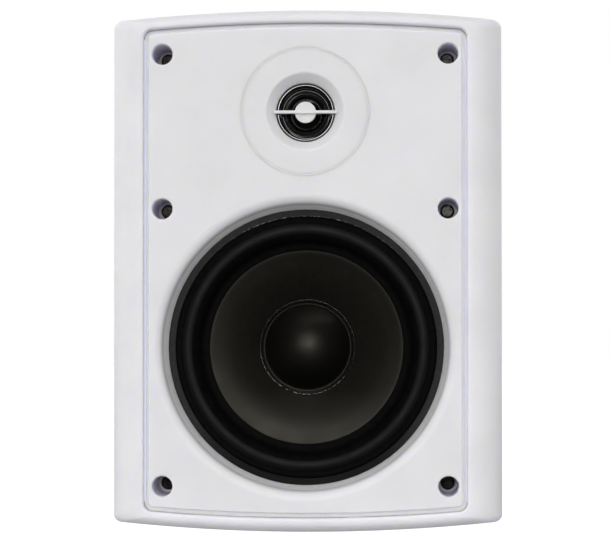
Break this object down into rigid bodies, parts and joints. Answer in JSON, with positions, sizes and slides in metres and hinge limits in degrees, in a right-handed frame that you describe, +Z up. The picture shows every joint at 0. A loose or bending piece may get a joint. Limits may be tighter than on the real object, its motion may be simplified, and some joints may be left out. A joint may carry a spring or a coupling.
{
  "type": "wall speaker",
  "caption": "Two-way wall loudspeaker: white tapered cabinet with arched ends, set-in front baffle, woofer in a rounded dish, small dome tweeter, and spring terminals at the back.",
  "frame": {"origin": "mouth of the bottom yoke insert, on the upright axis that the speaker swivels about", "axes": "+Z up, the front faces -Y, +X to the right as seen from the front"},
  "size_m": [0.199, 0.156, 0.266],
  "materials": {
    "white_plastic": "fine satin",
    "black_foam": "soft matt",
    "black_screw": "black oxide",
    "zinc_steel": "zinc plated",
    "brass": "turned",
    "grey_gasket": "dull",
    "black_steel": "satin",
    "black_rubber": "satin",
    "black_paper": "coated",
    "brown_paper": "matt",
    "copper": "enamelled",
    "resin_cloth": "stiffened",
    "ferrite": "ground",
    "fibre": "pressed",
    "tinsel": "braided",
    "gloss_black": "gloss",
    "black_cloth": "coated",
    "circuit": "lacquered",
    "capacitor": "sleeved",
    "cement": "matt",
    "black_plastic": "fine texture",
    "red_plastic": "satin",
    "red_wire": "satin",
    "black_wire": "satin"
  },
  "bodies": {
    "cabinet": {"cabinet_shell": "white_plastic", "front_baffle": "white_plastic", "baffle_seal": "black_foam", "baffle_screws": "black_screw", "yoke_insert_top": "brass", "yoke_insert_bottom": "brass", "woofer_gasket_ring": "grey_gasket", "woofer_basket": "black_steel", "woofer_screws": "zinc_steel", "woofer_surround": "black_rubber", "woofer_spider": "resin_cloth", "woofer_top_plate": "zinc_steel", "woofer_magnet": "ferrite", "woofer_back_plate": "zinc_steel", "woofer_tag_board": "fibre", "woofer_tags": "zinc_steel", "woofer_lead_plus": "tinsel", "woofer_lead_minus": "tinsel", "tweeter_faceplate": "white_plastic", "tweeter_clamp_ring": "gloss_black", "tweeter_suspension": "black_cloth", "tweeter_top_plate": "zinc_steel", "tweeter_magnet": "ferrite", "tweeter_back_plate": "zinc_steel", "tweeter_plate_screws": "black_screw", "tweeter_motor_screws": "black_screw", "tweeter_tag_board": "fibre", "tweeter_tags": "zinc_steel", "crossover_board": "circuit", "crossover_screws": "zinc_steel", "inductor_bobbin": "black_plastic", "inductor_winding": "copper", "capacitor_large": "capacitor", "capacitor_small": "capacitor", "resistor_block": "cement", "terminal_cup": "black_plastic", "terminal_cup_seal": "black_foam", "terminal_cup_screws": "black_screw", "red_wire_guide": "red_plastic", "black_wire_guide": "black_plastic", "red_contact_leaf": "zinc_steel", "black_contact_leaf": "zinc_steel", "lever_pin": "zinc_steel", "input_wire_red": "red_wire", "input_wire_black": "black_wire", "woofer_wire_red": "red_wire", "woofer_wire_black": "black_wire", "tweeter_wire_red": "red_wire", "tweeter_wire_black": "black_wire"},
    "woofer_moving": {"woofer_cone": "black_paper", "woofer_dust_cap": "black_paper", "woofer_coil_former": "brown_paper", "woofer_voice_coil": "copper"},
    "tweeter_moving": {"tweeter_dome": "black_cloth", "tweeter_voice_coil": "copper"},
    "red_lever": {"red_lever": "red_plastic"},
    "black_lever": {"black_lever": "black_plastic"}
  },
  "joints": [
    {"name": "woofer_drive", "type": "slide", "parent": "cabinet", "child": "woofer_moving", "axis": [0, -1, 0], "range_m": [-0.004, 0.004], "stiffness_N_per_m": 1000, "deforming": ["woofer_surround", "woofer_spider", "woofer_lead_plus", "woofer_lead_minus"]},
    {"name": "tweeter_drive", "type": "slide", "parent": "cabinet", "child": "tweeter_moving", "axis": [0, -1, 0], "range_m": [-0.0003, 0.0003], "stiffness_N_per_m": 500, "deforming": ["tweeter_suspension"]},
    {"name": "red_lever_press", "type": "hinge", "parent": "cabinet", "child": "red_lever", "pos_m": [0, 0.072, 0.08051], "axis": [1, 0, 0], "range_deg": [0, 22], "stiffness_Nm_per_rad": 0.06, "springref_deg": -11.46, "deforming": ["red_contact_leaf"]},
    {"name": "black_lever_press", "type": "hinge", "parent": "cabinet", "child": "black_lever", "pos_m": [0, 0.072, 0.08051], "axis": [1, 0, 0], "range_deg": [0, 22], "stiffness_Nm_per_rad": 0.06, "springref_deg": -11.46, "deforming": ["black_contact_leaf"]}
  ]
}
